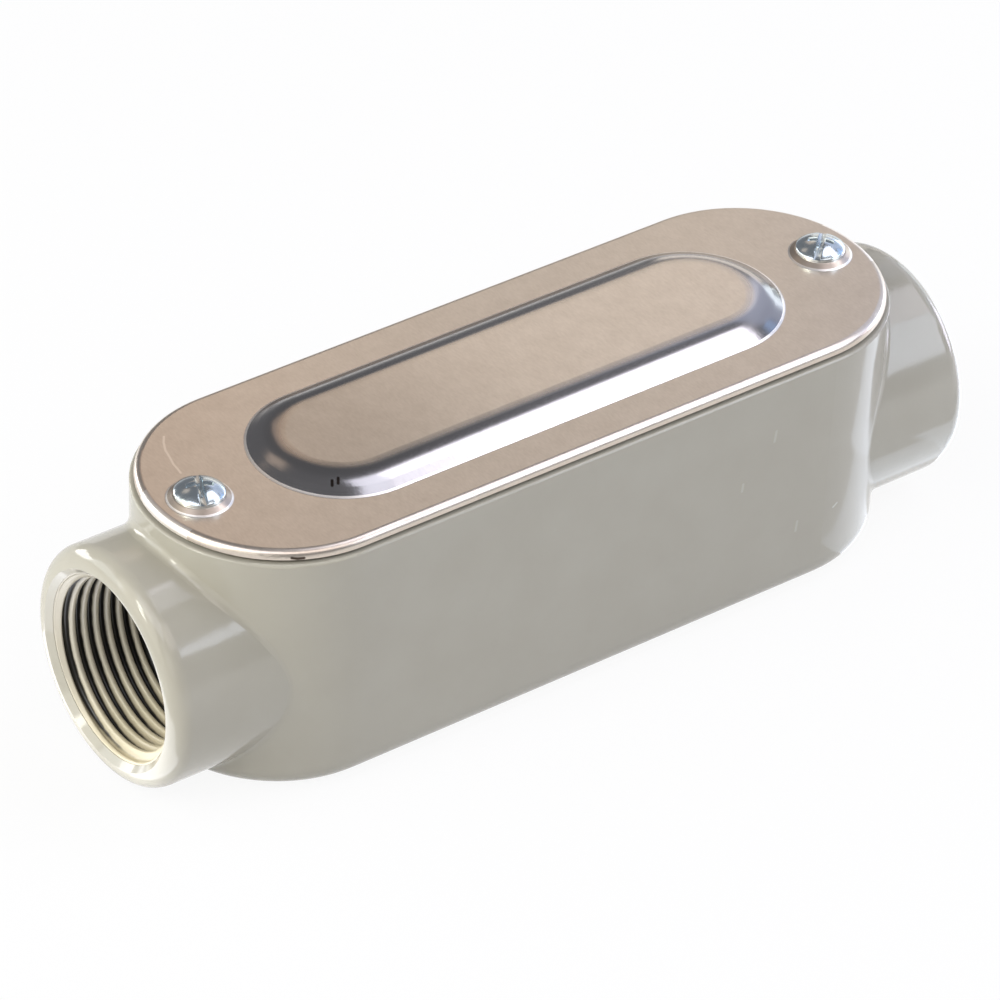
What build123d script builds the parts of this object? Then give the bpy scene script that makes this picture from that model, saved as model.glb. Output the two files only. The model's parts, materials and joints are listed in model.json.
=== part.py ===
from build123d import *
import math
import os

# Straight-through conduit body for 3/4 inch pipe, in millimetres.
# The hubs run along X, the flat back rests on Z = 0, and the origin is under the middle.

# Cover: a stamped sheet with a raised oblong panel and a low raised seat under each screw
cover_length = 116.2
cover_width = 38.1
cover_sheet = 1.25
cover_edge_round = 1.0
panel_end_margin = 16.1
panel_side_margin = 6.35
panel_rise = 1.9
panel_slope = 30.0
panel_crown = 8.0
panel_bend = 0.4
seat_foot_diameter = 8.9
seat_rise = 0.65
seat_bend = 0.25

# Gasket ring between cover and casting
gasket_thickness = 0.5
gasket_inset = 0.6

# Casting: oval trough
rim_ledge = 0.6
rim_above_hub = 3.35
rim_round = 0.35
wall = 2.8
floor = 2.8
draft = 0.5
back_round = 4.0
pocket_round = 2.0

# Casting: threaded hubs with a smooth bushing at the inner end
hub_diameter = 33.9
hub_reach = 7.75
hub_lift = 0.15
hub_fillet = 1.2
lip_round = 2.6
bore_diameter = 26.7
thread_length = 14.0
lead_in = 0.8
throat_diameter = 20.6
bushing_length = 2.4
bushing_round = 1.0
barrel_wall = 2.2

# Casting: screw bosses
screw_end_margin = 6.35
boss_diameter = 7.2
tap_depth = 5.9
boss_floor = 1.6

# Cover screws, No. 6 with a domed head, slot and cross recess
screw_diameter = 3.5
screw_length = 6.35
head_diameter = 6.86
head_height = 1.7
head_side = 0.5
head_edge_round = 0.2
tip_chamfer = 0.35
slot_width = 0.95
slot_depth = 1.3
cross_span = 3.8
cross_depth = 1.55
cross_taper = 12.0
slot_angles = {"left": 65.0, "right": 43.0}

# Clearances of one piece in another
tap_clearance = 0.05
cover_hole_clearance = 0.25
gasket_hole_clearance = 0.3
seat_margin = 0.1

# Levels and places that follow from the sizes above
body_length = cover_length + 2 * rim_ledge
body_width = cover_width + 2 * rim_ledge
hub_radius = hub_diameter / 2
hub_height = hub_radius + hub_lift
rim_height = hub_height + hub_radius + rim_above_hub
mouth_x = body_length / 2 + hub_reach
barrel_x = mouth_x - thread_length - bushing_length
end_centre_x = (body_length - body_width) / 2
pocket_length = body_length - 2 * wall
pocket_width = body_width - 2 * wall
cover_bottom = rim_height + gasket_thickness
cover_top = cover_bottom + cover_sheet
panel_length = cover_length - 2 * panel_end_margin
panel_width = cover_width - 2 * panel_side_margin
screw_x = cover_length / 2 - screw_end_margin
seat_level = cover_top + seat_rise
sides = {"left": -1, "right": 1}

os.makedirs("parts", exist_ok=True)


def boss_outline():
    """Sketch shape of both screw bosses and the webs that tie them to the end walls."""
    for side in sides.values():
        web = body_length / 2 - wall / 2 - screw_x
        with Locations((side * screw_x, 0)):
            Circle(boss_diameter / 2)
        with Locations((side * (screw_x + web / 2), 0)):
            Rectangle(web, boss_diameter)


# Core of the wiring pocket, with a rounded floor edge
with BuildPart() as wiring_pocket:
    with BuildSketch(Plane((0, 0, rim_height), z_dir=(0, 0, -1))):
        SlotOverall(pocket_length, pocket_width)
    extrude(amount=rim_height - floor, taper=draft)
    fillet(wiring_pocket.faces().sort_by(Axis.Z)[0].edges(), pocket_round)

# Casting
with BuildPart() as body_casting:
    # Outside of the trough, drafted from the rim down to the flat back
    with BuildSketch(Plane((0, 0, rim_height), z_dir=(0, 0, -1))):
        SlotOverall(body_length, body_width)
    extrude(amount=rim_height, taper=draft)
    fillet(body_casting.faces().sort_by(Axis.Z)[0].edges(), back_round)

    # Hubs with a full round lip, blended into the end walls
    for side in sides.values():
        with BuildSketch(Plane((side * end_centre_x, 0, hub_height), z_dir=(side, 0, 0))):
            Circle(hub_radius)
        extrude(amount=mouth_x - end_centre_x)
        junction = body_casting.edges(Select.NEW)
        fillet(junction, hub_fillet)
        fillet(body_casting.edges().sort_by(Axis.X)[-1 if side > 0 else 0], lip_round)

    # Wiring pocket, open at the top
    add(wiring_pocket.part, mode=Mode.SUBTRACT)

    # Barrels that carry the threads on into the pocket
    for side in sides.values():
        with BuildSketch(Plane((side * barrel_x, 0, hub_height), z_dir=(side, 0, 0))):
            Circle(bore_diameter / 2 + barrel_wall)
        extrude(amount=body_length / 2 - wall / 2 - barrel_x)

    # Screw bosses over the barrels, closed below the tapped holes
    with BuildSketch(Plane((0, 0, rim_height), z_dir=(0, 0, -1))):
        boss_outline()
    extrude(amount=tap_depth + boss_floor)

    # Bores, bushing throats and tapped holes
    for side in sides.values():
        mouth = Plane((side * mouth_x, 0, hub_height), z_dir=(-side, 0, 0))
        with BuildSketch(mouth):
            Circle(bore_diameter / 2)
        extrude(amount=thread_length, mode=Mode.SUBTRACT)
        with BuildSketch(mouth):
            Circle(throat_diameter / 2)
        extrude(amount=mouth_x - barrel_x, mode=Mode.SUBTRACT)
    with Locations(*[(side * screw_x, 0, rim_height) for side in sides.values()]):
        Hole(screw_diameter / 2 + tap_clearance, depth=tap_depth)

    # Smooth bushing edges, a lead-in at each mouth and a soft outer edge on the rim
    circles = body_casting.edges().filter_by(GeomType.CIRCLE)
    throat_edges = circles.filter_by(lambda edge: math.isclose(edge.radius, throat_diameter / 2))
    fillet(throat_edges, bushing_round)
    bore_edges = circles.filter_by(lambda edge: math.isclose(edge.radius, bore_diameter / 2))
    for mouth_edge in (bore_edges.sort_by(Axis.X)[0], bore_edges.sort_by(Axis.X)[-1]):
        chamfer(mouth_edge, lead_in)
    fillet(body_casting.faces().sort_by(Axis.Z)[-1].outer_wire().edges(), rim_round)

body_casting.part.label = "body_casting"
export_step(body_casting.part, "parts/body_casting.step")

# Gasket: covers the rim and the bosses
with BuildPart() as gasket:
    with BuildSketch(Plane.XY.offset(rim_height)):
        SlotOverall(cover_length - 2 * gasket_inset, cover_width - 2 * gasket_inset)
        SlotOverall(pocket_length, pocket_width, mode=Mode.SUBTRACT)
        boss_outline()
    extrude(amount=gasket_thickness)
    with Locations(*[(side * screw_x, 0, cover_bottom) for side in sides.values()]):
        Hole(screw_diameter / 2 + gasket_hole_clearance, depth=gasket_thickness)

gasket.part.label = "gasket"
export_step(gasket.part, "parts/gasket.step")


def panel_half_section(base_level, crown_level, crown_radius, side):
    """Half of the raised panel's section: sloping side, round crown, flat top."""
    slope = math.radians(panel_slope)
    outer_crown_rise = panel_crown * (1 - math.cos(slope))
    slope_reach = (panel_rise - outer_crown_rise) / math.tan(slope)
    flat_reach = panel_width / 2 - slope_reach - panel_crown * math.sin(slope)
    crown_rise = crown_radius * (1 - math.cos(slope))
    tangent_reach = flat_reach + crown_radius * math.sin(slope)
    base_reach = tangent_reach + (crown_level - base_level - crown_rise) / math.tan(slope)
    crown_start = (side * flat_reach, crown_level)
    crown_end = (side * tangent_reach, crown_level - crown_rise)
    foot = (side * base_reach, base_level)
    with BuildSketch() as section:
        with BuildLine():
            Line((0, base_level), (0, crown_level))
            Line((0, crown_level), crown_start)
            RadiusArc(crown_start, crown_end, side * crown_radius)
            Line(crown_end, foot)
            Line(foot, (0, base_level))
        make_face()
    return section.sketch


def raised_panel(base_level, crown_level, crown_radius):
    """Solid under one face of the raised panel: the section run straight and turned at the ends."""
    levels = (base_level, crown_level, crown_radius)
    halves = {side: panel_half_section(*levels, side) for side in sides.values()}
    panel_centre_x = (panel_length - panel_width) / 2
    with BuildPart() as panel:
        for side in sides.values():
            with BuildSketch(Plane((side * panel_centre_x, 0, 0), x_dir=(1, 0, 0), z_dir=(0, -1, 0))):
                add(halves[side])
            revolve(axis=Axis((side * panel_centre_x, 0, 0), (0, 0, 1)))
        with BuildSketch(Plane((-panel_centre_x, 0, 0), x_dir=(0, 1, 0), z_dir=(1, 0, 0))):
            add(halves.values())
        extrude(amount=2 * panel_centre_x)
    return panel.part


panel_outside = raised_panel(cover_top, cover_top + panel_rise, panel_crown)
panel_inside = raised_panel(cover_bottom, cover_bottom + panel_rise, panel_crown - cover_sheet)

# Cover
with BuildPart() as cover:
    with BuildSketch(Plane.XY.offset(cover_bottom)):
        SlotOverall(cover_length, cover_width)
    extrude(amount=cover_sheet)
    fillet(cover.faces().sort_by(Axis.Z)[-1].edges(), cover_edge_round)
    add(panel_outside)
    flat_face = cover.faces().filter_by(Plane.XY).filter_by_position(Axis.Z, cover_top, cover_top)[0]
    fillet(flat_face.inner_wires().edges(), panel_bend)
    add(panel_inside, mode=Mode.SUBTRACT)
    # Screw seats: the die lifts the sheet into a low cone with a flat top
    seat_radii = (seat_foot_diameter / 2, head_diameter / 2 + seat_margin)
    with Locations(*[(side * screw_x, 0, cover_top + seat_rise / 2) for side in sides.values()]):
        Cone(*seat_radii, seat_rise)
    cone_faces = cover.faces().filter_by(GeomType.CONE)
    seat_edges = [edge for face in cone_faces.sort_by(Axis.X)[:1] + cone_faces.sort_by(Axis.X)[-1:]
                  for edge in face.edges().filter_by(GeomType.CIRCLE)]
    fillet(seat_edges, seat_bend)
    with Locations(*[(side * screw_x, 0, cover_bottom + seat_rise / 2) for side in sides.values()]):
        Cone(*seat_radii, seat_rise, mode=Mode.SUBTRACT)
    with Locations(*[(side * screw_x, 0, seat_level) for side in sides.values()]):
        Hole(screw_diameter / 2 + cover_hole_clearance, depth=cover_sheet)

cover.part.label = "cover"
export_step(cover.part, "parts/cover.step")


def cover_screw(side, slot_angle):
    """Domed screw on its seat in the cover: straight slot across a cross recess."""
    head_radius = head_diameter / 2
    shank_radius = screw_diameter / 2
    top = seat_level + head_height
    tip = seat_level - screw_length
    dome_height = head_height - head_side
    dome_radius = (head_radius**2 + dome_height**2) / (2 * dome_height)
    dome_level = seat_level + head_side
    dome_edge = (head_radius, dome_level)
    screw_plane = Plane((side * screw_x, 0, 0), x_dir=(1, 0, 0), z_dir=(0, -1, 0))
    with BuildPart() as screw:
        with BuildSketch(screw_plane):
            with BuildLine():
                Line((0, tip), (0, top))
                RadiusArc((0, top), dome_edge, dome_radius)
                Line(dome_edge, (head_radius, seat_level))
                Line((head_radius, seat_level), (shank_radius, seat_level))
                Line((shank_radius, seat_level), (shank_radius, tip + tip_chamfer))
                Line((shank_radius, tip + tip_chamfer), (shank_radius - tip_chamfer, tip))
                Line((shank_radius - tip_chamfer, tip), (0, tip))
            make_face()
        revolve(axis=Axis((side * screw_x, 0, 0), (0, 0, 1)))
        rim = screw.edges().filter_by_position(Axis.Z, dome_level, dome_level)
        fillet(rim, head_edge_round)
        across = Vector(1, 0, 0).rotate(Axis.Z, slot_angle)
        recess = Plane((side * screw_x, 0, top), x_dir=across, z_dir=(0, 0, -1))
        with BuildSketch(recess):
            Rectangle(2 * head_diameter, slot_width)
        extrude(amount=slot_depth, mode=Mode.SUBTRACT)
        with BuildSketch(recess):
            Rectangle(cross_span, slot_width)
            Rectangle(slot_width, cross_span)
        extrude(amount=cross_depth, taper=cross_taper, mode=Mode.SUBTRACT)
    return screw.part


for name, side in sides.items():
    screw = cover_screw(side, slot_angles[name])
    screw.label = f"cover_screw_{name}"
    export_step(screw, f"parts/cover_screw_{name}.step")
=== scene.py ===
import bmesh
import bpy
import json
from math import cos, pi, radians, sin, tan
from mathutils import Euler, Matrix, Quaternion, Vector


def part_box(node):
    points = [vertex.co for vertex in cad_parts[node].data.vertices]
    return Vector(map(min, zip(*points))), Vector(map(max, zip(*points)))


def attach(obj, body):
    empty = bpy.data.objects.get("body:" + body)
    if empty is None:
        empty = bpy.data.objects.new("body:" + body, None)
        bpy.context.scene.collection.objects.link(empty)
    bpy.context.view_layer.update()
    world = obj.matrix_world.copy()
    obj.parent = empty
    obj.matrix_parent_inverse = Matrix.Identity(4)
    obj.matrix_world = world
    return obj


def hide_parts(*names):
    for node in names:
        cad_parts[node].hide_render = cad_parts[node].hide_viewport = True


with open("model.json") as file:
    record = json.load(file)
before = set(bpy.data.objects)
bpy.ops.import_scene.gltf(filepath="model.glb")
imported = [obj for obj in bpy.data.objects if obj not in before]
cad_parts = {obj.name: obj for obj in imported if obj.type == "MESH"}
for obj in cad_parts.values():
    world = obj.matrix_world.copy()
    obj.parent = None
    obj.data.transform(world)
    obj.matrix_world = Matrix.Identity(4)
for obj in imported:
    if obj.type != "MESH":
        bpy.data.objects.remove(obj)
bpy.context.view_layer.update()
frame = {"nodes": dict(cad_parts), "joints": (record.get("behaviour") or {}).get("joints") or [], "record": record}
nodes = frame["nodes"]
mm = 0.001
print("frame loaded:", ", ".join(sorted(nodes)))


def toLinear(hexColour):
    parts = [int(hexColour[i:i + 2], 16) / 255 for i in (1, 3, 5)]
    return [p / 12.92 if p <= 0.04045 else ((p + 0.055) / 1.055) ** 2.4 for p in parts] + [1.0]


def addNode(tree, kind, settings=None, inputs=None):
    # one node: settings are its properties, inputs are values or the sockets that feed it
    node = tree.nodes.new(kind)
    for name, value in (settings or {}).items():
        setattr(node, name, value)
    for name, value in (inputs or {}).items():
        if isinstance(value, bpy.types.NodeSocket):
            tree.links.new(value, node.inputs[name])
        else:
            node.inputs[name].default_value = value
    return node


def startMaterial(name):
    material = bpy.data.materials.new(name)
    material.use_nodes = True
    material.node_tree.nodes.clear()
    return material, material.node_tree


def endMaterial(tree, shader):
    addNode(tree, "ShaderNodeOutputMaterial", inputs={"Surface": shader.outputs[0]})


def setRamp(node, stops):
    # stops are (place, linear colour)
    ramp = node.color_ramp
    while len(ramp.elements) < len(stops):
        ramp.elements.new(0.5)
    for element, (place, colour) in zip(ramp.elements, stops):
        element.position = place
        element.color = colour


def markMask(tree, place, strokes, width):
    # 1 on strokes drawn on the piece, 0 beside them: a stroke is a row of points in mm, and width is
    # half of its width, with a soft edge
    mask = None
    for stroke in strokes:
        for start, end in zip(stroke, stroke[1:]):
            start, along = Vector(start) * mm, (Vector(end) - Vector(start)) * mm
            reach = addNode(tree, "ShaderNodeVectorMath", {"operation": "SUBTRACT"}, {
                0: place, 1: start})
            share = addNode(tree, "ShaderNodeVectorMath", {"operation": "DOT_PRODUCT"}, {
                0: reach.outputs[0], 1: along / along.length_squared})
            kept = addNode(tree, "ShaderNodeClamp", inputs={"Value": share.outputs["Value"]})
            onLine = addNode(tree, "ShaderNodeVectorMath", {"operation": "SCALE"}, {
                0: along, 3: kept.outputs[0]})
            away = addNode(tree, "ShaderNodeVectorMath", {"operation": "DISTANCE"}, {
                0: reach.outputs[0], 1: onLine.outputs[0]})
            here = addNode(tree, "ShaderNodeMapRange", {"interpolation_type": "SMOOTHSTEP"}, {
                "Value": away.outputs["Value"],
                "From Min": 1.4 * width * mm, "From Max": 0.5 * width * mm})
            if mask is None:
                mask = here
            else:
                mask = addNode(tree, "ShaderNodeMath", {"operation": "MAXIMUM"}, {
                    0: mask.outputs[0], 1: here.outputs[0]})
    return mask.outputs[0]


# Casting: cast aluminium under a baked polyester powder coat.
# The coat gives a full gloss with a slight orange peel, in a warm grey.
coat = {
    "grey": "#A8A599",
    "greyDeep": "#A09C8F",
    "ior": 1.5,
    "roughness": 0.11,
    "patchSize": 9.0,      # mm, slow change between the two greys
    "peelSize": 0.55,      # mm, orange peel
    "peelHeight": 0.006,
    "waveSize": 5.0,       # mm, slow waves of the casting's skin under the coat
    "waveHeight": 0.02,
    "rubAndShadedSlope": "#C2C1BA",   # pale spot where something hard has touched the coat
    "rubs": [[(40.78, -19.34, 12.1), (41.5, -19.26, 12.5)]],
    "rubWidth": 0.12,
    "faint": "#ADAA9F",
    "faintRubs": [
        [(28.96, -19.57, 27.9), (29.17, -19.58, 29.5)],
        [(24.0, -19.52, 22.7), (23.9, -19.51, 21.6)],
        [(34.35, -19.43, 12.3), (34.2, -19.42, 10.8)],
    ],
    "faintWidth": 0.22,
}


def makeCoat():
    material, tree = startMaterial("powderCoatOnCastAluminium")
    place = addNode(tree, "ShaderNodeTexCoord").outputs["Object"]
    patches = addNode(tree, "ShaderNodeTexNoise", inputs={
        "Vector": place, "Scale": 1 / (coat["patchSize"] * mm), "Detail": 3.0})
    colour = addNode(tree, "ShaderNodeMix", {"data_type": "RGBA"}, {
        0: patches.outputs["Fac"], 6: toLinear(coat["grey"]), 7: toLinear(coat["greyDeep"])})
    faint = addNode(tree, "ShaderNodeMix", {"data_type": "RGBA"}, {
        0: markMask(tree, place, coat["faintRubs"], coat["faintWidth"]),
        6: colour.outputs[2], 7: toLinear(coat["faint"])})
    marked = addNode(tree, "ShaderNodeMix", {"data_type": "RGBA"}, {
        0: markMask(tree, place, coat["rubs"], coat["rubWidth"]),
        6: faint.outputs[2], 7: toLinear(coat["rubAndShadedSlope"])})
    peel = addNode(tree, "ShaderNodeTexNoise", inputs={
        "Vector": place, "Scale": 1 / (coat["peelSize"] * mm), "Detail": 1.0})
    wave = addNode(tree, "ShaderNodeTexNoise", inputs={
        "Vector": place, "Scale": 1 / (coat["waveSize"] * mm), "Detail": 1.0})
    waveBump = addNode(tree, "ShaderNodeBump", inputs={
        "Height": wave.outputs["Fac"], "Distance": coat["waveHeight"] * mm, "Strength": 1.0})
    peelBump = addNode(tree, "ShaderNodeBump", inputs={
        "Height": peel.outputs["Fac"], "Distance": coat["peelHeight"] * mm, "Strength": 1.0,
        "Normal": waveBump.outputs[0]})
    shader = addNode(tree, "ShaderNodeBsdfPrincipled", inputs={
        "Base Color": marked.outputs[2], "Roughness": coat["roughness"], "IOR": coat["ior"],
        "Normal": peelBump.outputs[0]})
    endMaterial(tree, shader)
    return material


# Cover: rolled aluminium sheet. The rolls leave a satin face with a fine short grain, and the die
# that raised the panel has polished its sloping sides to a gloss. Painted shade darkens the slopes and
# the screw seats, painted shade and light run along the panel's top, and a painted highlight lies on
# the foot lines. Lengths are mm, heights from the table.
sheet = {
    "metal": "#E8DDD1",
    "metalDeep": "#C6BAAD",
    "slopeShade": "#B3B0AF",  # painted shade: darker colour on the panel's slopes
    "seat": "#C2B4A6",     # painted shade on the seat cones round the screws
    "foot": "#FFF8F0",     # painted highlight: a bright line where a slope meets the flat
    "roughFlat": 0.29,
    "roughFormed": 0.17,
    "roughEdge": 0.33,     # the sheared edge and the screw seats stay dull
    "tilt": (0.9995, 0.982),    # upward share of the normal, from flat to fully formed
    "panelReach": (43.0, 13.3),  # half sizes that hold the raised panel
    "seatReach": (46.0, 5.3),  # a seat lies past the first and within the second
    "footTop": 39.33,
    "panelFrom": (40.3, 40.9),
    "shadeEnds": (-34, 4),  # painted shade and light: the panel's top is darker towards the left end and lighter towards the right
    "shadeScales": (0.82, 1.14),
    "grainLength": 0.9,
    "grainWidth": 0.28,
    "grainHeight": 0.004,
    "patchSize": 3.0,
    "patchShare": 0.45,    # patches against grain in the mottle
    "scratched": "#F0E6DB",
    "scratch": [[
        (-47.9, 13.8, 39.15), (-48.7, 12.7, 39.15), (-49.5, 11.1, 39.15), (-49.9, 9.5, 39.15),
        (-50.4, 7.9, 39.15), (-50.5, 6.9, 39.15), (-50.7, 5.8, 39.15),
    ]],
    "scratchWidth": 0.16,
    "grime": "#4A3F38",    # a nick in the edge and two specks on the near slope
    "grimeMarks": [
        [(-48.7, -16.43, 38.25), (-48.05, -16.78, 38.1), (-47.3, -17.15, 38.15)],
        [(-36.3, -7.8, 40.38), (-36.66, -8.34, 40.05)],
        [(-35.45, -7.96, 40.54), (-35.88, -8.58, 40.21)],
    ],
    "grimeWidth": 0.2,
}


def makeSheet():
    material, tree = startMaterial("rolledAluminiumSheet")
    coords = addNode(tree, "ShaderNodeTexCoord").outputs
    place = addNode(tree, "ShaderNodeSeparateXYZ", inputs={0: coords["Object"]}).outputs

    # mottled metal
    across, along = 1 / (sheet["grainWidth"] * mm), 1 / (sheet["grainLength"] * mm)
    stretched = addNode(tree, "ShaderNodeMapping", inputs={
        "Vector": coords["Object"], "Scale": (across, along, across)})
    grain = addNode(tree, "ShaderNodeTexNoise", inputs={
        "Vector": stretched.outputs[0], "Scale": 1.0, "Detail": 2.0})
    patches = addNode(tree, "ShaderNodeTexNoise", inputs={
        "Vector": coords["Object"], "Scale": 1 / (sheet["patchSize"] * mm), "Detail": 2.0})
    mottle = addNode(tree, "ShaderNodeMix", inputs={
        0: sheet["patchShare"], 2: grain.outputs["Fac"], 3: patches.outputs["Fac"]})
    colour = addNode(tree, "ShaderNodeMix", {"data_type": "RGBA"}, {
        0: mottle.outputs[0], 6: toLinear(sheet["metalDeep"]), 7: toLinear(sheet["metal"])})

    # the formed places: the panel's slopes, the seats round the screws, and the foot lines of both
    facing = addNode(tree, "ShaderNodeSeparateXYZ", inputs={0: coords["Normal"]})
    formed = addNode(tree, "ShaderNodeMapRange", {"interpolation_type": "SMOOTHSTEP"}, {
        "Value": facing.outputs["Z"], "From Min": sheet["tilt"][0], "From Max": sheet["tilt"][1]})
    away = {axis: addNode(tree, "ShaderNodeMath", {"operation": "ABSOLUTE"}, {0: place[axis]})
            for axis in "XY"}
    insideX = addNode(tree, "ShaderNodeMath", {"operation": "LESS_THAN"}, {
        0: away["X"].outputs[0], 1: sheet["panelReach"][0] * mm})
    insideY = addNode(tree, "ShaderNodeMath", {"operation": "LESS_THAN"}, {
        0: away["Y"].outputs[0], 1: sheet["panelReach"][1] * mm})
    onDraw = addNode(tree, "ShaderNodeMath", {"operation": "MULTIPLY"}, {
        0: insideX.outputs[0], 1: insideY.outputs[0]})
    # the panel's slopes, which take painted shade
    rubAndShadedSlope = addNode(tree, "ShaderNodeMath", {"operation": "MULTIPLY"}, {
        0: formed.outputs[0], 1: onDraw.outputs[0]})
    pastPanel = addNode(tree, "ShaderNodeMath", {"operation": "GREATER_THAN"}, {
        0: away["X"].outputs[0], 1: sheet["seatReach"][0] * mm})
    # the seat cones round the screws, which take painted shade
    nearAxis = addNode(tree, "ShaderNodeMath", {"operation": "LESS_THAN"}, {
        0: away["Y"].outputs[0], 1: sheet["seatReach"][1] * mm})
    onSeat = addNode(tree, "ShaderNodeMath", {"operation": "MULTIPLY"}, {
        0: pastPanel.outputs[0], 1: nearAxis.outputs[0]})
    seat = addNode(tree, "ShaderNodeMath", {"operation": "MULTIPLY"}, {
        0: formed.outputs[0], 1: onSeat.outputs[0]})
    drawn = addNode(tree, "ShaderNodeMath", {"operation": "ADD"}, {
        0: rubAndShadedSlope.outputs[0], 1: seat.outputs[0]})
    # the foot lines, which take a painted highlight
    atFoot = addNode(tree, "ShaderNodeMath", {"operation": "LESS_THAN"}, {
        0: place["Z"], 1: sheet["footTop"] * mm})
    foot = addNode(tree, "ShaderNodeMath", {"operation": "MULTIPLY"}, {
        0: drawn.outputs[0], 1: atFoot.outputs[0]})

    # how dull each place is
    polished = addNode(tree, "ShaderNodeMath", {"operation": "SUBTRACT", "use_clamp": True}, {
        0: onDraw.outputs[0], 1: foot.outputs[0]})
    formedRough = addNode(tree, "ShaderNodeMix", inputs={
        0: polished.outputs[0], 2: sheet["roughEdge"], 3: sheet["roughFormed"]})
    rough = addNode(tree, "ShaderNodeMapRange", inputs={
        "Value": formed.outputs[0], "To Min": sheet["roughFlat"], "To Max": formedRough.outputs[0]})

    # painted shade on the slopes and seats and a painted highlight on the foot lines, then painted shade and light
    # along the panel's top
    metal = colour
    for mask, tint in ((rubAndShadedSlope, "slopeShade"), (seat, "seat"), (foot, "foot")):
        metal = addNode(tree, "ShaderNodeMix", {"data_type": "RGBA"}, {
            0: mask.outputs[0], 6: metal.outputs[2], 7: toLinear(sheet[tint])})
    # painted shade and light along the panel's top
    onPanel = addNode(tree, "ShaderNodeMapRange", {"interpolation_type": "SMOOTHSTEP"}, {
        "Value": place["Z"],
        "From Min": sheet["panelFrom"][0] * mm, "From Max": sheet["panelFrom"][1] * mm})
    shadeAlongPanel = addNode(tree, "ShaderNodeMapRange", {"interpolation_type": "SMOOTHSTEP"}, {
        "Value": place["X"],
        "From Min": sheet["shadeEnds"][0] * mm, "From Max": sheet["shadeEnds"][1] * mm,
        "To Min": sheet["shadeScales"][0], "To Max": sheet["shadeScales"][1]})
    panelShade = addNode(tree, "ShaderNodeMix", inputs={
        0: onPanel.outputs[0], 2: 1.0, 3: shadeAlongPanel.outputs[0]})
    shadedMetal = addNode(tree, "ShaderNodeVectorMath", {"operation": "SCALE"}, {
        0: metal.outputs[2], 3: panelShade.outputs[0]})

    # wear
    scratched = addNode(tree, "ShaderNodeMix", {"data_type": "RGBA"}, {
        0: markMask(tree, coords["Object"], sheet["scratch"], sheet["scratchWidth"]),
        6: shadedMetal.outputs[0], 7: toLinear(sheet["scratched"])})
    nicked = addNode(tree, "ShaderNodeMix", {"data_type": "RGBA"}, {
        0: markMask(tree, coords["Object"], sheet["grimeMarks"], sheet["grimeWidth"]),
        6: scratched.outputs[2], 7: toLinear(sheet["grime"])})
    bump = addNode(tree, "ShaderNodeBump", inputs={
        "Height": grain.outputs["Fac"], "Distance": sheet["grainHeight"] * mm, "Strength": 1.0})
    shader = addNode(tree, "ShaderNodeBsdfPrincipled", inputs={
        "Base Color": nicked.outputs[2], "Metallic": 1.0, "Roughness": rough.outputs[0],
        "Normal": bump.outputs[0]})
    endMaterial(tree, shader)
    return material


# Hub threads: cut in the aluminium with powder coat on the crests, which gives cream ridges. The
# near-black deep in the grooves is painted shade, and the lighter crests and shallower near-black on
# the lower side of the bore are painted light
groove = {
    "crest": "#ABA595",
    "lowerSideLight": "#C4BA9E",    # painted light: lighter crests on the lower side of the bore
    # painted shade deep in the grooves
    "grooveShade": "#171512",
    "grooveShadeFrom": 0.42,       # share of the groove's depth, with the ragged edge's own part
    "grooveShadeTo": 0.74,
    "raggedSize": 1.5,      # mm
    "raggedShare": 0.25,
    "lowerSideShift": 0.45,    # painted light: the painted shade in the grooves starts this much deeper on the lower side of the bore
    "towardsLowerSide": (0.0, -0.5, -0.85),
    "lowerSideFrom": -13.2,    # mm along the direction to the lower side of the bore
    "lowerSideTo": -2.2,
    "roughness": 0.3,
}


def makeThreadFinish():
    material, tree = startMaterial("crestCoatAndGrooveShade")
    place = addNode(tree, "ShaderNodeTexCoord").outputs["Object"]
    low = addNode(tree, "ShaderNodeAttribute", {"attribute_name": "grooveDepth"})
    ragged = addNode(tree, "ShaderNodeTexNoise", inputs={
        "Vector": place, "Scale": 1 / (groove["raggedSize"] * mm), "Detail": 3.0})
    edge = addNode(tree, "ShaderNodeMath", {"operation": "MULTIPLY_ADD"}, {
        0: ragged.outputs["Fac"], 1: groove["raggedShare"], 2: low.outputs["Fac"]})
    # painted light: the lower side of the bore gets lighter crests and less painted shade
    towardsLowerSide = addNode(tree, "ShaderNodeVectorMath", {"operation": "DOT_PRODUCT"}, {
        0: place, 1: groove["towardsLowerSide"]})
    lowerSideLight = addNode(tree, "ShaderNodeMapRange", inputs={
        "Value": towardsLowerSide.outputs["Value"],
        "From Min": groove["lowerSideFrom"] * mm, "From Max": groove["lowerSideTo"] * mm})
    shallow = addNode(tree, "ShaderNodeMath", {"operation": "MULTIPLY_ADD"}, {
        0: lowerSideLight.outputs[0], 1: -groove["lowerSideShift"], 2: edge.outputs[0]})
    crest = addNode(tree, "ShaderNodeMix", {"data_type": "RGBA"}, {
        0: lowerSideLight.outputs[0], 6: toLinear(groove["crest"]), 7: toLinear(groove["lowerSideLight"])})
    # painted shade deep in the grooves
    grooveShade = addNode(tree, "ShaderNodeMapRange", {"interpolation_type": "SMOOTHSTEP"}, {
        "Value": shallow.outputs[0], "From Min": groove["grooveShadeFrom"], "From Max": groove["grooveShadeTo"]})
    colour = addNode(tree, "ShaderNodeMix", {"data_type": "RGBA"}, {
        0: grooveShade.outputs[0], 6: crest.outputs[2], 7: toLinear(groove["grooveShade"])})
    shader = addNode(tree, "ShaderNodeBsdfPrincipled", inputs={
        "Base Color": colour.outputs[2], "Roughness": groove["roughness"]})
    endMaterial(tree, shader)
    return material


# Gasket: black neoprene sheet, matt with a dusty bloom
rubber = {
    "black": "#1B1A19",
    "bloom": "#2A2826",
    "dustSize": 1.2,        # mm
    "dustHeight": 0.02,
    "roughness": 0.75,
}


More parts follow.
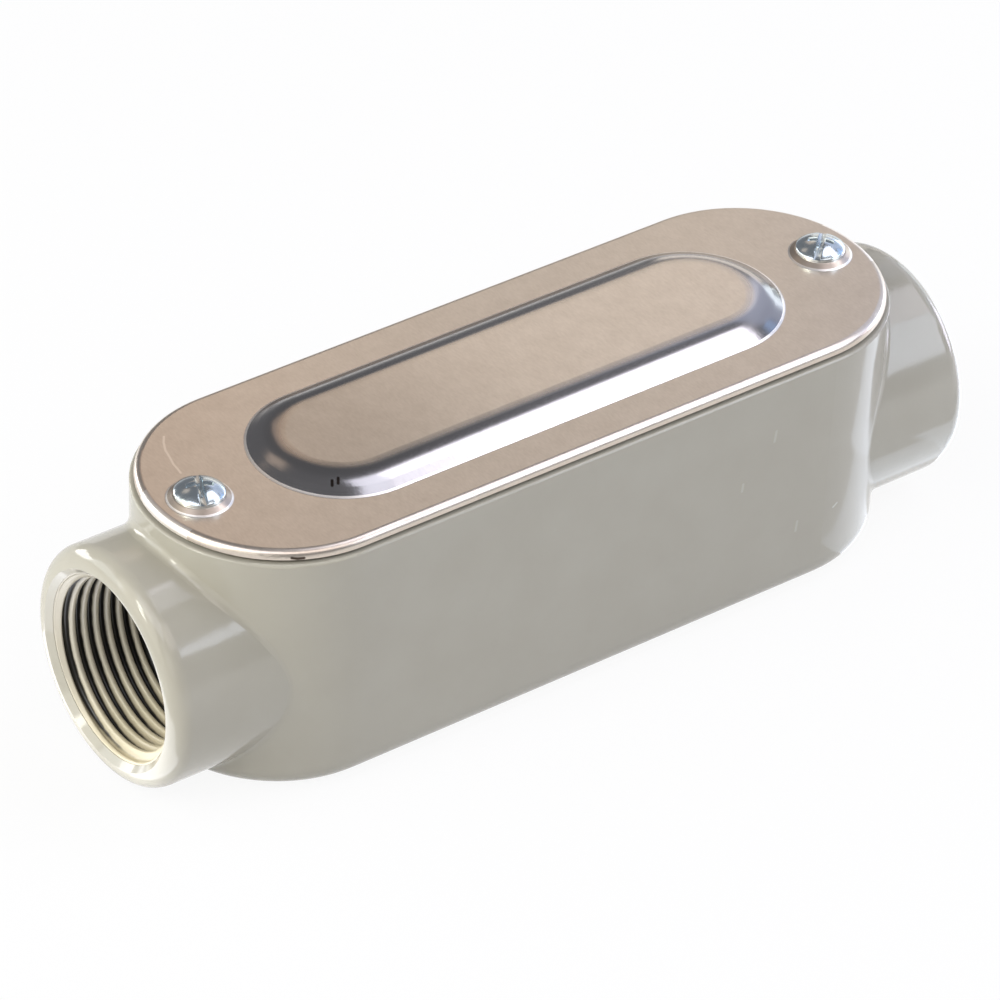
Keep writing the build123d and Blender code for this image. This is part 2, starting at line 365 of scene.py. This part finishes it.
def makeRubber():
    material, tree = startMaterial("neopreneSheet")
    place = addNode(tree, "ShaderNodeTexCoord").outputs["Object"]
    dust = addNode(tree, "ShaderNodeTexNoise", inputs={
        "Vector": place, "Scale": 1 / (rubber["dustSize"] * mm), "Detail": 4.0})
    colour = addNode(tree, "ShaderNodeMix", {"data_type": "RGBA"}, {
        0: dust.outputs["Fac"], 6: toLinear(rubber["black"]), 7: toLinear(rubber["bloom"])})
    bump = addNode(tree, "ShaderNodeBump", inputs={
        "Height": dust.outputs["Fac"], "Distance": rubber["dustHeight"] * mm, "Strength": 1.0})
    shader = addNode(tree, "ShaderNodeBsdfPrincipled", inputs={
        "Base Color": colour.outputs[2], "Roughness": rubber["roughness"], "Normal": bump.outputs[0]})
    endMaterial(tree, shader)
    return material


# Screws: headed steel with bright zinc plate, which gives a bluish mirror
zinc = {
    "metal": "#E2EAEE",
    "metalDeep": "#C9D6DC",
    "mottleSize": 0.8,      # mm
    "roughness": 0.2,
}


def makeZinc():
    material, tree = startMaterial("brightZincPlate")
    place = addNode(tree, "ShaderNodeTexCoord").outputs["Object"]
    mottle = addNode(tree, "ShaderNodeTexNoise", inputs={
        "Vector": place, "Scale": 1 / (zinc["mottleSize"] * mm), "Detail": 3.0})
    colour = addNode(tree, "ShaderNodeMix", {"data_type": "RGBA"}, {
        0: mottle.outputs["Fac"], 6: toLinear(zinc["metalDeep"]), 7: toLinear(zinc["metal"])})
    shader = addNode(tree, "ShaderNodeBsdfPrincipled", inputs={
        "Base Color": colour.outputs[2], "Metallic": 1.0, "Roughness": zinc["roughness"]})
    endMaterial(tree, shader)
    return material


coatMaterial = makeCoat()
sheetMaterial = makeSheet()
threadMaterial = makeThreadFinish()
rubberMaterial = makeRubber()
zincMaterial = makeZinc()
finishes = {
    "body_casting": coatMaterial,
    "gasket": rubberMaterial,
    "cover": sheetMaterial,
    "cover_screw_left": zincMaterial,
    "cover_screw_right": zincMaterial,
}
for name, material in finishes.items():
    node = nodes[name]
    if not node.material_slots:
        node.data.materials.append(None)
    for slot in node.material_slots:
        slot.link = "OBJECT"
        slot.material = material
print("materials done")


# Threads: taper pipe thread in both hubs and the fine thread of the cover screws.
# One tree winds them: a sheet of points, once round and many turns long, closed into a tube.
hubThread = {               # millimetres
    "Pitch": 25.4 / 14,
    "Root Radius": 13.2,
    "Height": 1.07,
    "Taper": 1 / 32,        # radius lost along the axis
    "First Crest": 3.21,    # depth of the first crest on the side away from the eye
    "From": 0.9,
    "To": 13.9,
    "Lead In": 1.3,         # the crests rise over this length at the mouth
    "Run Out": 1.6,
    "Back Radius": 13.7,    # closes the piece inside the casting's wall
    "Crest Flat": 0.75,     # towards 1 the crests and roots get narrower
    "Steps": 144,
}
screwThread = {
    "Pitch": 25.4 / 32,
    "Root Radius": 1.31,
    "Height": -0.43,
    "Taper": 0.0,
    "First Crest": 0.5,
    "From": 0.0,
    "To": 6.4,
    "Lead In": 0.8,
    "Run Out": 0.5,
    "Back Radius": 0.0,
    "Crest Flat": 0.85,
    "Steps": 40,
}
columnsPerTurn = 12
spareTurns = 3              # turns before the first crest, pressed flat at the start
turnsAfter = 2.0            # turns past the last crest, pressed flat at the far end
closingColumns = 3          # out to the back, along it, and in again to the first column
seamDistance = 0.001        # mm, joins the tube's seams


def makeThreadTree():
    tree = bpy.data.node_groups.new("woundThread", "GeometryNodeTree")
    tree.interface.new_socket("Geometry", in_out="OUTPUT", socket_type="NodeSocketGeometry")
    for name in hubThread:
        kind = "NodeSocketInt" if name == "Steps" else "NodeSocketFloat"
        tree.interface.new_socket(name, in_out="INPUT", socket_type=kind)
    tree.interface.new_socket("Material", in_out="INPUT", socket_type="NodeSocketMaterial")
    given = addNode(tree, "NodeGroupInput").outputs

    # how many turns and columns the sheet needs
    length = addNode(tree, "ShaderNodeMath", {"operation": "SUBTRACT"}, {
        0: given["To"], 1: given["From"]})
    turns = addNode(tree, "ShaderNodeMath", {"operation": "DIVIDE"}, {
        0: length.outputs[0], 1: given["Pitch"]})
    allTurns = addNode(tree, "ShaderNodeMath", {"operation": "ADD"}, {
        0: turns.outputs[0], 1: spareTurns + turnsAfter})
    wholeTurns = addNode(tree, "ShaderNodeMath", {"operation": "CEIL"}, {0: allTurns.outputs[0]})
    last = addNode(tree, "ShaderNodeMath", {"operation": "MULTIPLY"}, {
        0: wholeTurns.outputs[0], 1: columnsPerTurn})
    columns = addNode(tree, "ShaderNodeMath", {"operation": "ADD"}, {
        0: last.outputs[0], 1: closingColumns + 1})
    rows = addNode(tree, "ShaderNodeMath", {"operation": "ADD"}, {0: given["Steps"], 1: 1})
    sheetOfPoints = addNode(tree, "GeometryNodeMeshGrid", inputs={
        "Vertices X": rows.outputs[0], "Vertices Y": columns.outputs[0]})

    # each point's column along the axis and its share of one round
    index = addNode(tree, "GeometryNodeInputIndex").outputs[0]
    column = addNode(tree, "ShaderNodeMath", {"operation": "MODULO"}, {0: index, 1: columns.outputs[0]})
    rowPlace = addNode(tree, "ShaderNodeMath", {"operation": "DIVIDE"}, {
        0: index, 1: columns.outputs[0]})
    row = addNode(tree, "ShaderNodeMath", {"operation": "FLOOR"}, {0: rowPlace.outputs[0]})
    around = addNode(tree, "ShaderNodeMath", {"operation": "DIVIDE"}, {
        0: row.outputs[0], 1: given["Steps"]})
    turn = addNode(tree, "ShaderNodeMath", {"operation": "DIVIDE"}, {
        0: column.outputs[0], 1: columnsPerTurn})

    # rise from root to crest across one pitch
    phase = addNode(tree, "ShaderNodeMath", {"operation": "MULTIPLY"}, {0: turn.outputs[0], 1: 2 * pi})
    swing = addNode(tree, "ShaderNodeMath", {"operation": "COSINE"}, {0: phase.outputs[0]})
    lowSwing = addNode(tree, "ShaderNodeMath", {"operation": "MULTIPLY"}, {
        0: given["Crest Flat"], 1: -1.0})
    rise = addNode(tree, "ShaderNodeMapRange", {"interpolation_type": "SMOOTHSTEP"}, {
        "Value": swing.outputs[0], "From Min": lowSwing.outputs[0], "From Max": given["Crest Flat"]})

    # depth along the axis, a pitch deeper with each turn and kept between the two ends;
    # the closing columns are those after the last one: far end, near end, and the first one again
    advance = addNode(tree, "ShaderNodeMath", {"operation": "ADD"}, {
        0: turn.outputs[0], 1: around.outputs[0]})
    onward = addNode(tree, "ShaderNodeMath", {"operation": "SUBTRACT"}, {
        0: advance.outputs[0], 1: spareTurns})
    climb = addNode(tree, "ShaderNodeMath", {"operation": "MULTIPLY_ADD"}, {
        0: onward.outputs[0], 1: given["Pitch"], 2: given["First Crest"]})
    kept = addNode(tree, "ShaderNodeClamp", inputs={
        "Value": climb.outputs[0], "Min": given["From"], "Max": given["To"]})
    pastLast = addNode(tree, "ShaderNodeMath", {"operation": "SUBTRACT"}, {
        0: column.outputs[0], 1: last.outputs[0]})
    closing = addNode(tree, "ShaderNodeMath", {"operation": "GREATER_THAN"}, {
        0: pastLast.outputs[0], 1: 0.5})
    returning = addNode(tree, "ShaderNodeMath", {"operation": "GREATER_THAN"}, {
        0: pastLast.outputs[0], 1: 1.5})
    endDepth = addNode(tree, "ShaderNodeMix", inputs={
        0: returning.outputs[0], 2: given["To"], 3: given["From"]})
    depth = addNode(tree, "ShaderNodeMix", inputs={
        0: closing.outputs[0], 2: kept.outputs[0], 3: endDepth.outputs[0]})

    # crests rise at the mouth and die away at the far end
    fromStart = addNode(tree, "ShaderNodeMath", {"operation": "SUBTRACT"}, {
        0: depth.outputs[0], 1: given["From"]})
    fadeIn = addNode(tree, "ShaderNodeMath", {"operation": "DIVIDE", "use_clamp": True}, {
        0: fromStart.outputs[0], 1: given["Lead In"]})
    fromEnd = addNode(tree, "ShaderNodeMath", {"operation": "SUBTRACT"}, {
        0: given["To"], 1: depth.outputs[0]})
    fadeOut = addNode(tree, "ShaderNodeMath", {"operation": "DIVIDE", "use_clamp": True}, {
        0: fromEnd.outputs[0], 1: given["Run Out"]})
    fade = addNode(tree, "ShaderNodeMath", {"operation": "MULTIPLY"}, {
        0: fadeIn.outputs[0], 1: fadeOut.outputs[0]})
    fadedRise = addNode(tree, "ShaderNodeMath", {"operation": "MULTIPLY"}, {
        0: fade.outputs[0], 1: rise.outputs[0]})
    crest = addNode(tree, "ShaderNodeMath", {"operation": "MULTIPLY"}, {
        0: fadedRise.outputs[0], 1: given["Height"]})
    narrowing = addNode(tree, "ShaderNodeMath", {"operation": "MULTIPLY_ADD"}, {
        0: depth.outputs[0], 1: given["Taper"], 2: crest.outputs[0]})
    face = addNode(tree, "ShaderNodeMath", {"operation": "SUBTRACT"}, {
        0: given["Root Radius"], 1: narrowing.outputs[0]})
    beforeSeam = addNode(tree, "ShaderNodeMath", {"operation": "LESS_THAN"}, {
        0: pastLast.outputs[0], 1: 2.5})
    atBack = addNode(tree, "ShaderNodeMath", {"operation": "MULTIPLY"}, {
        0: closing.outputs[0], 1: beforeSeam.outputs[0]})
    radius = addNode(tree, "ShaderNodeMix", inputs={
        0: atBack.outputs[0], 2: face.outputs[0], 3: given["Back Radius"]})

    # wound round the X axis
    angle = addNode(tree, "ShaderNodeMath", {"operation": "MULTIPLY"}, {0: around.outputs[0], 1: 2 * pi})
    cosine = addNode(tree, "ShaderNodeMath", {"operation": "COSINE"}, {0: angle.outputs[0]})
    sine = addNode(tree, "ShaderNodeMath", {"operation": "SINE"}, {0: angle.outputs[0]})
    across = addNode(tree, "ShaderNodeMath", {"operation": "MULTIPLY"}, {
        0: radius.outputs[0], 1: cosine.outputs[0]})
    upward = addNode(tree, "ShaderNodeMath", {"operation": "MULTIPLY"}, {
        0: radius.outputs[0], 1: sine.outputs[0]})
    point = addNode(tree, "ShaderNodeCombineXYZ", inputs={
        0: depth.outputs[0], 1: across.outputs[0], 2: upward.outputs[0]})
    inMetres = addNode(tree, "ShaderNodeVectorMath", {"operation": "SCALE"}, {
        0: point.outputs[0], 3: mm})
    wound = addNode(tree, "GeometryNodeSetPosition", inputs={
        "Geometry": sheetOfPoints.outputs[0], "Position": inMetres.outputs[0]})

    # how deep in the groove a point lies, for the painted shade in the grooves: none on a crest or at the mouth
    low = addNode(tree, "ShaderNodeMath", {"operation": "SUBTRACT"}, {0: 1.0, 1: rise.outputs[0]})
    grooveDepth = addNode(tree, "ShaderNodeMath", {"operation": "MULTIPLY"}, {
        0: low.outputs[0], 1: fadeIn.outputs[0]})
    attribute = {"data_type": "FLOAT", "domain": "POINT"}
    marked = addNode(tree, "GeometryNodeStoreNamedAttribute", attribute, {
        "Geometry": wound.outputs[0], "Name": "grooveDepth", "Value": grooveDepth.outputs[0]})
    joined = addNode(tree, "GeometryNodeMergeByDistance", inputs={
        "Geometry": marked.outputs[0], "Distance": seamDistance * mm})
    smooth = addNode(tree, "GeometryNodeSetShadeSmooth", inputs={0: joined.outputs[0]})
    real = addNode(tree, "GeometryNodeRealizeInstances", inputs={0: smooth.outputs[0]})
    finished = addNode(tree, "GeometryNodeSetMaterial", inputs={
        "Geometry": real.outputs[0], "Material": given["Material"]})
    addNode(tree, "NodeGroupOutput", inputs={0: finished.outputs[0]})
    return tree


def windThread(tree, name, sizes, material, place):
    # runs the tree once, makes the result a plain closed mesh and puts it in place
    start = bpy.data.objects.new("start", bpy.data.meshes.new("start"))
    bpy.context.scene.collection.objects.link(start)
    winding = start.modifiers.new("thread", "NODES")
    winding.node_group = tree
    values = dict(sizes, Material=material)
    for socket in tree.interface.items_tree:
        if socket.in_out == "INPUT":
            winding[socket.identifier] = values[socket.name]
    graph = bpy.context.evaluated_depsgraph_get()
    mesh = bpy.data.meshes.new_from_object(start.evaluated_get(graph), depsgraph=graph)
    bpy.data.objects.remove(start)
    mesh.name = name
    work = bmesh.new()
    work.from_mesh(mesh)
    bmesh.ops.delete(work, geom=[edge for edge in work.edges if edge.is_wire], context="EDGES")
    bmesh.ops.recalc_face_normals(work, faces=work.faces)
    work.to_mesh(mesh)
    work.free()
    mesh.transform(place)
    piece = bpy.data.objects.new(name, mesh)
    bpy.context.scene.collection.objects.link(piece)
    return piece


threadTree = makeThreadTree()
hub = {mount["name"]: mount for mount in frame["record"]["mounts"]}["hub_left"]
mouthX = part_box("body_casting")[1].x
hubAxisZ = hub["pos_m"][2]
for side, turned in (("left", 0.0), ("right", pi)):
    # the right hub's thread is the left one's turned half round, so both are right-handed
    place = Matrix.Rotation(turned, 4, "Z") @ Matrix.Translation((-mouthX, 0, hubAxisZ))
    thread = windThread(threadTree, "hub_thread_" + side, hubThread, threadMaterial, place)
    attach(thread, "casting")
print("hub threads done")

screwSizes = {              # millimetres
    "neck": 0.25,           # plain neck kept below the head
    "edgeRound": 0.07,
    "edgeSteps": 2,
    "edgeAngle": 40,        # degrees, sharper edges than this are rounded
    "sharpAngle": 32,       # degrees, edges past this stay crisp in the shading
    "flatAngle": 1,         # degrees, faces within this are one face
    "mergeDistance": 0.002,
}


def makeScrew(side):
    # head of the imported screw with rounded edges, on a shank with a real thread
    node = nodes["cover_screw_" + side]
    joints = {joint["name"]: joint for joint in frame["joints"]}
    axisPlace = Vector(joints["screw_" + side + "_turn"]["pos_m"])
    cut = axisPlace.z - screwSizes["neck"] * mm
    head = node.data.copy()
    work = bmesh.new()
    work.from_mesh(head)
    bmesh.ops.remove_doubles(work, verts=work.verts, dist=screwSizes["mergeDistance"] * mm)
    bmesh.ops.dissolve_limit(
        work, angle_limit=radians(screwSizes["flatAngle"]), verts=work.verts, edges=work.edges)
    halved = bmesh.ops.bisect_plane(work, geom=work.verts[:] + work.edges[:] + work.faces[:],
                                    plane_co=(0, 0, cut), plane_no=(0, 0, -1), clear_outer=True)
    rim = [edge for edge in halved["geom_cut"] if isinstance(edge, bmesh.types.BMEdge)]
    bmesh.ops.contextual_create(work, geom=rim)
    bmesh.ops.recalc_face_normals(work, faces=work.faces)
    work.to_mesh(head)
    work.free()
    headPiece = bpy.data.objects.new("screw_" + side, head)
    bpy.context.scene.collection.objects.link(headPiece)
    rounding = headPiece.modifiers.new("edges", "BEVEL")
    rounding.width = screwSizes["edgeRound"] * mm
    rounding.segments = screwSizes["edgeSteps"]
    rounding.limit_method = "ANGLE"
    rounding.angle_limit = radians(screwSizes["edgeAngle"])
    graph = bpy.context.evaluated_depsgraph_get()
    rounded = bpy.data.meshes.new_from_object(headPiece.evaluated_get(graph), depsgraph=graph)
    headPiece.modifiers.clear()
    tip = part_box("cover_screw_" + side)[0].z
    place = Matrix.Translation((axisPlace.x, axisPlace.y, tip)) @ Matrix.Rotation(-pi / 2, 4, "Y")
    shank = windThread(threadTree, "shank_" + side, screwThread, zincMaterial, place)
    work = bmesh.new()
    work.from_mesh(rounded)
    work.from_mesh(shank.data)
    work.to_mesh(head)
    work.free()
    bpy.data.objects.remove(shank)
    head.materials.clear()
    head.materials.append(zincMaterial)
    for face in head.polygons:
        face.material_index = 0
        face.use_smooth = True
    head.set_sharp_from_angle(angle=radians(screwSizes["sharpAngle"]))
    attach(headPiece, "screw_" + side)
    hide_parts("cover_screw_" + side)


for side in ("left", "right"):
    makeScrew(side)
print("screws done")


# Studio: white table, soft boxes and reflecting cards round the object, and a dim room above
# a pale horizon
studio = {
    "floorRadius": 0.8,     # metres
    "floorSides": 64,
    "floorColour": "#E0E0E0",
    "floorWhite": 0.92,     # share of plain white that the eye and mirrors see on the floor
    "horizon": "#9C9C9E",
    "room": "#77787C",
    "fade": (0.04, 0.1),    # upward share of the direction, from horizon to room
    "boxDistance": 0.7,     # metres from the aim
    "aim": (0, 0, 0.02),
}
softBoxes = {
    # azimuth and elevation seen from the object, width and height, turn (all degrees), brightness
    # where white is 1, tint
    "left": (172, 25, (44, 52), 0, 2.25, "#FFFCEE"),
    "leftLamp": (174, 27, (7, 20), 0, 12, "#FFFDF2"),
    "lowBack": (112, 6, (26, 13), 0, 7, "#FFFFFF"),
    "tanBack": (105, 49, (12, 14), 0, 0.5, "#FFE3C8"),
    "mouth": (133, 30, (14, 14), 0, 1.2, "#FFFFFF"),
    "backLeft": (138, 14, (30, 24), 0, 2.6, "#F3FAFF"),
    "leftUp": (-160, 50, (40, 30), 0, 2.25, "#F4F5FF"),
    "frontLeft": (-145, 15, (24, 20), 0, 1.3, "#FFFDF4"),
    "frontUp": (-95, 50, (46, 24), 0, 1.75, "#FFF5F1"),
    "keyMid": (-46, 32, (34, 20), 33, 4.8, "#E5EEFF"),
    "keyTop": (-12, 55, (30, 16), 33, 3.5, "#F4F2FF"),
    "keyCap": (-24, 74, (22, 20), 33, 1.9, "#EEF0FF"),
    "endGlow": (22, 30, (28, 36), 0, 0.66, "#C8D2F0"),
    "paleRight": (43, 9, (22, 12), 0, 1, "#FFF6EA"),
    "rightLow": (-5, 6, (26, 16), 0, 8.8, "#ECE9FF"),
    "rightBack": (18, 8, (24, 16), 0, 1.86, "#EAF7FF"),
    "rightHigh": (-8, 28, (22, 20), 0, 0.9, "#A6C9FF"),
    "tanRight": (40, 30, (14, 20), 0, 0.42, "#FFF9F9"),
    "tanMid": (54, 33, (12, 18), 0, 0.66, "#FFF6EA"),
    "tanLeft": (66, 38, (14, 20), 0, 0.5, "#FFDDBE"),
    "spot": (46, 34, (2.5, 4), 0, 1.4, "#FFE6B8"),
}
litTable = {
    # patches of the table that send light up: place and size in metres, brightness, tint
    "right": ((0.112, 0.0, 0.001), (0.084, 0.06), 1.35, "#E2EDFF"),
    "rightFoot": ((0.0575, -0.019, 0.001), (0.025, 0.012), 0.9, "#E2EDFF"),
    "left": ((-0.08, 0.006, 0.001), (0.024, 0.05), 2.6, "#F4F6FF"),
}


def makeFloor():
    mesh = bpy.data.meshes.new("floor")
    radius, count = studio["floorRadius"], studio["floorSides"]
    turns = [2 * pi * i / count for i in range(count)]
    ring = [(radius * cos(turn), radius * sin(turn), 0.0) for turn in turns]
    mesh.from_pydata(ring, [], [list(range(count))])
    floor = bpy.data.objects.new("floor", mesh)
    bpy.context.scene.collection.objects.link(floor)
    material, tree = startMaterial("whiteTable")
    path = addNode(tree, "ShaderNodeLightPath")
    seen = addNode(tree, "ShaderNodeMath", {"operation": "ADD"}, {
        0: path.outputs["Is Camera Ray"], 1: path.outputs["Is Glossy Ray"]})
    seenAll = addNode(tree, "ShaderNodeMath", {"operation": "ADD", "use_clamp": True}, {
        0: seen.outputs[0], 1: path.outputs["Is Transmission Ray"]})
    share = addNode(tree, "ShaderNodeMath", {"operation": "MULTIPLY"}, {
        0: seenAll.outputs[0], 1: studio["floorWhite"]})
    matt = addNode(tree, "ShaderNodeBsdfDiffuse", inputs={"Color": toLinear(studio["floorColour"])})
    white = addNode(tree, "ShaderNodeEmission", inputs={"Color": (1, 1, 1, 1), "Strength": 1.0})
    blend = addNode(tree, "ShaderNodeMixShader", inputs={
        0: share.outputs[0], 1: matt.outputs[0], 2: white.outputs[0]})
    endMaterial(tree, blend)
    mesh.materials.append(material)


def addLamp(name, place, size, bright, tint):
    # area light hidden from the camera, with its brightness kept when its size changes
    light = bpy.data.lights.new(name, "AREA")
    light.shape = "RECTANGLE"
    light.size, light.size_y = size
    light.energy = bright * pi * size[0] * size[1]
    light.color = toLinear(tint)[:3]
    lamp = bpy.data.objects.new(name, light)
    lamp.location = place
    lamp.visible_camera = False
    bpy.context.scene.collection.objects.link(lamp)
    return lamp


def addSoftBox(name, azimuth, elevation, spread, turn, bright, tint):
    # soft box that faces the middle of the object
    around, up = radians(azimuth), radians(elevation)
    direction = Vector((cos(up) * cos(around), cos(up) * sin(around), sin(up)))
    size = [2 * studio["boxDistance"] * tan(radians(angle / 2)) for angle in spread]
    lamp = addLamp(name, Vector(studio["aim"]) + direction * studio["boxDistance"], size, bright, tint)
    facing = Quaternion(direction, radians(turn)) @ direction.to_track_quat("Z", "Y")
    lamp.rotation_euler = facing.to_euler()


def makeSky():
    world = bpy.data.worlds.new("studioRoom")
    bpy.context.scene.world = world
    world.use_nodes = True
    tree = world.node_tree
    tree.nodes.clear()
    direction = addNode(tree, "ShaderNodeTexCoord").outputs["Generated"]
    height = addNode(tree, "ShaderNodeSeparateXYZ", inputs={0: direction})
    ramp = addNode(tree, "ShaderNodeValToRGB", inputs={0: height.outputs["Z"]})
    greys = [toLinear(studio[name]) for name in ("horizon", "room")]
    setRamp(ramp, list(zip(studio["fade"], greys)))
    sky = addNode(tree, "ShaderNodeBackground", inputs={"Color": ramp.outputs[0], "Strength": 1.0})
    addNode(tree, "ShaderNodeOutputWorld", inputs={"Surface": sky.outputs[0]})


makeFloor()
makeSky()
for name, box in softBoxes.items():
    addSoftBox(name, *box)
for name, patch in litTable.items():
    addLamp("table_" + name, *patch).rotation_euler = (pi, 0, 0)
print("studio done")

# Camera: long lens from the front left, at the photograph's angle
view = {
    "place": (-0.42551, -0.53346, 0.51086),  # metres
    "yaw": 0.67076,         # radians from +Y towards +X
    "pitch": 0.62564,       # radians down
    "roll": -0.04946,
    "lens": 223.81,         # mm
    "sensor": 36,
    "nearest": 0.01,        # metres
}


def addCamera():
    camera = bpy.data.cameras.new("camera")
    camera.sensor_width = view["sensor"]
    camera.lens = view["lens"]
    camera.clip_start = view["nearest"]
    holder = bpy.data.objects.new("camera", camera)
    aimed = Euler((pi / 2 - view["pitch"], 0, -view["yaw"])).to_matrix()
    turn = aimed @ Matrix.Rotation(-view["roll"], 3, "Z")
    holder.matrix_world = Matrix.Translation(Vector(view["place"])) @ turn.to_4x4()
    bpy.context.scene.collection.objects.link(holder)
    bpy.context.scene.camera = holder


addCamera()
bpy.context.scene.view_settings.view_transform = "Standard"
print("camera done")
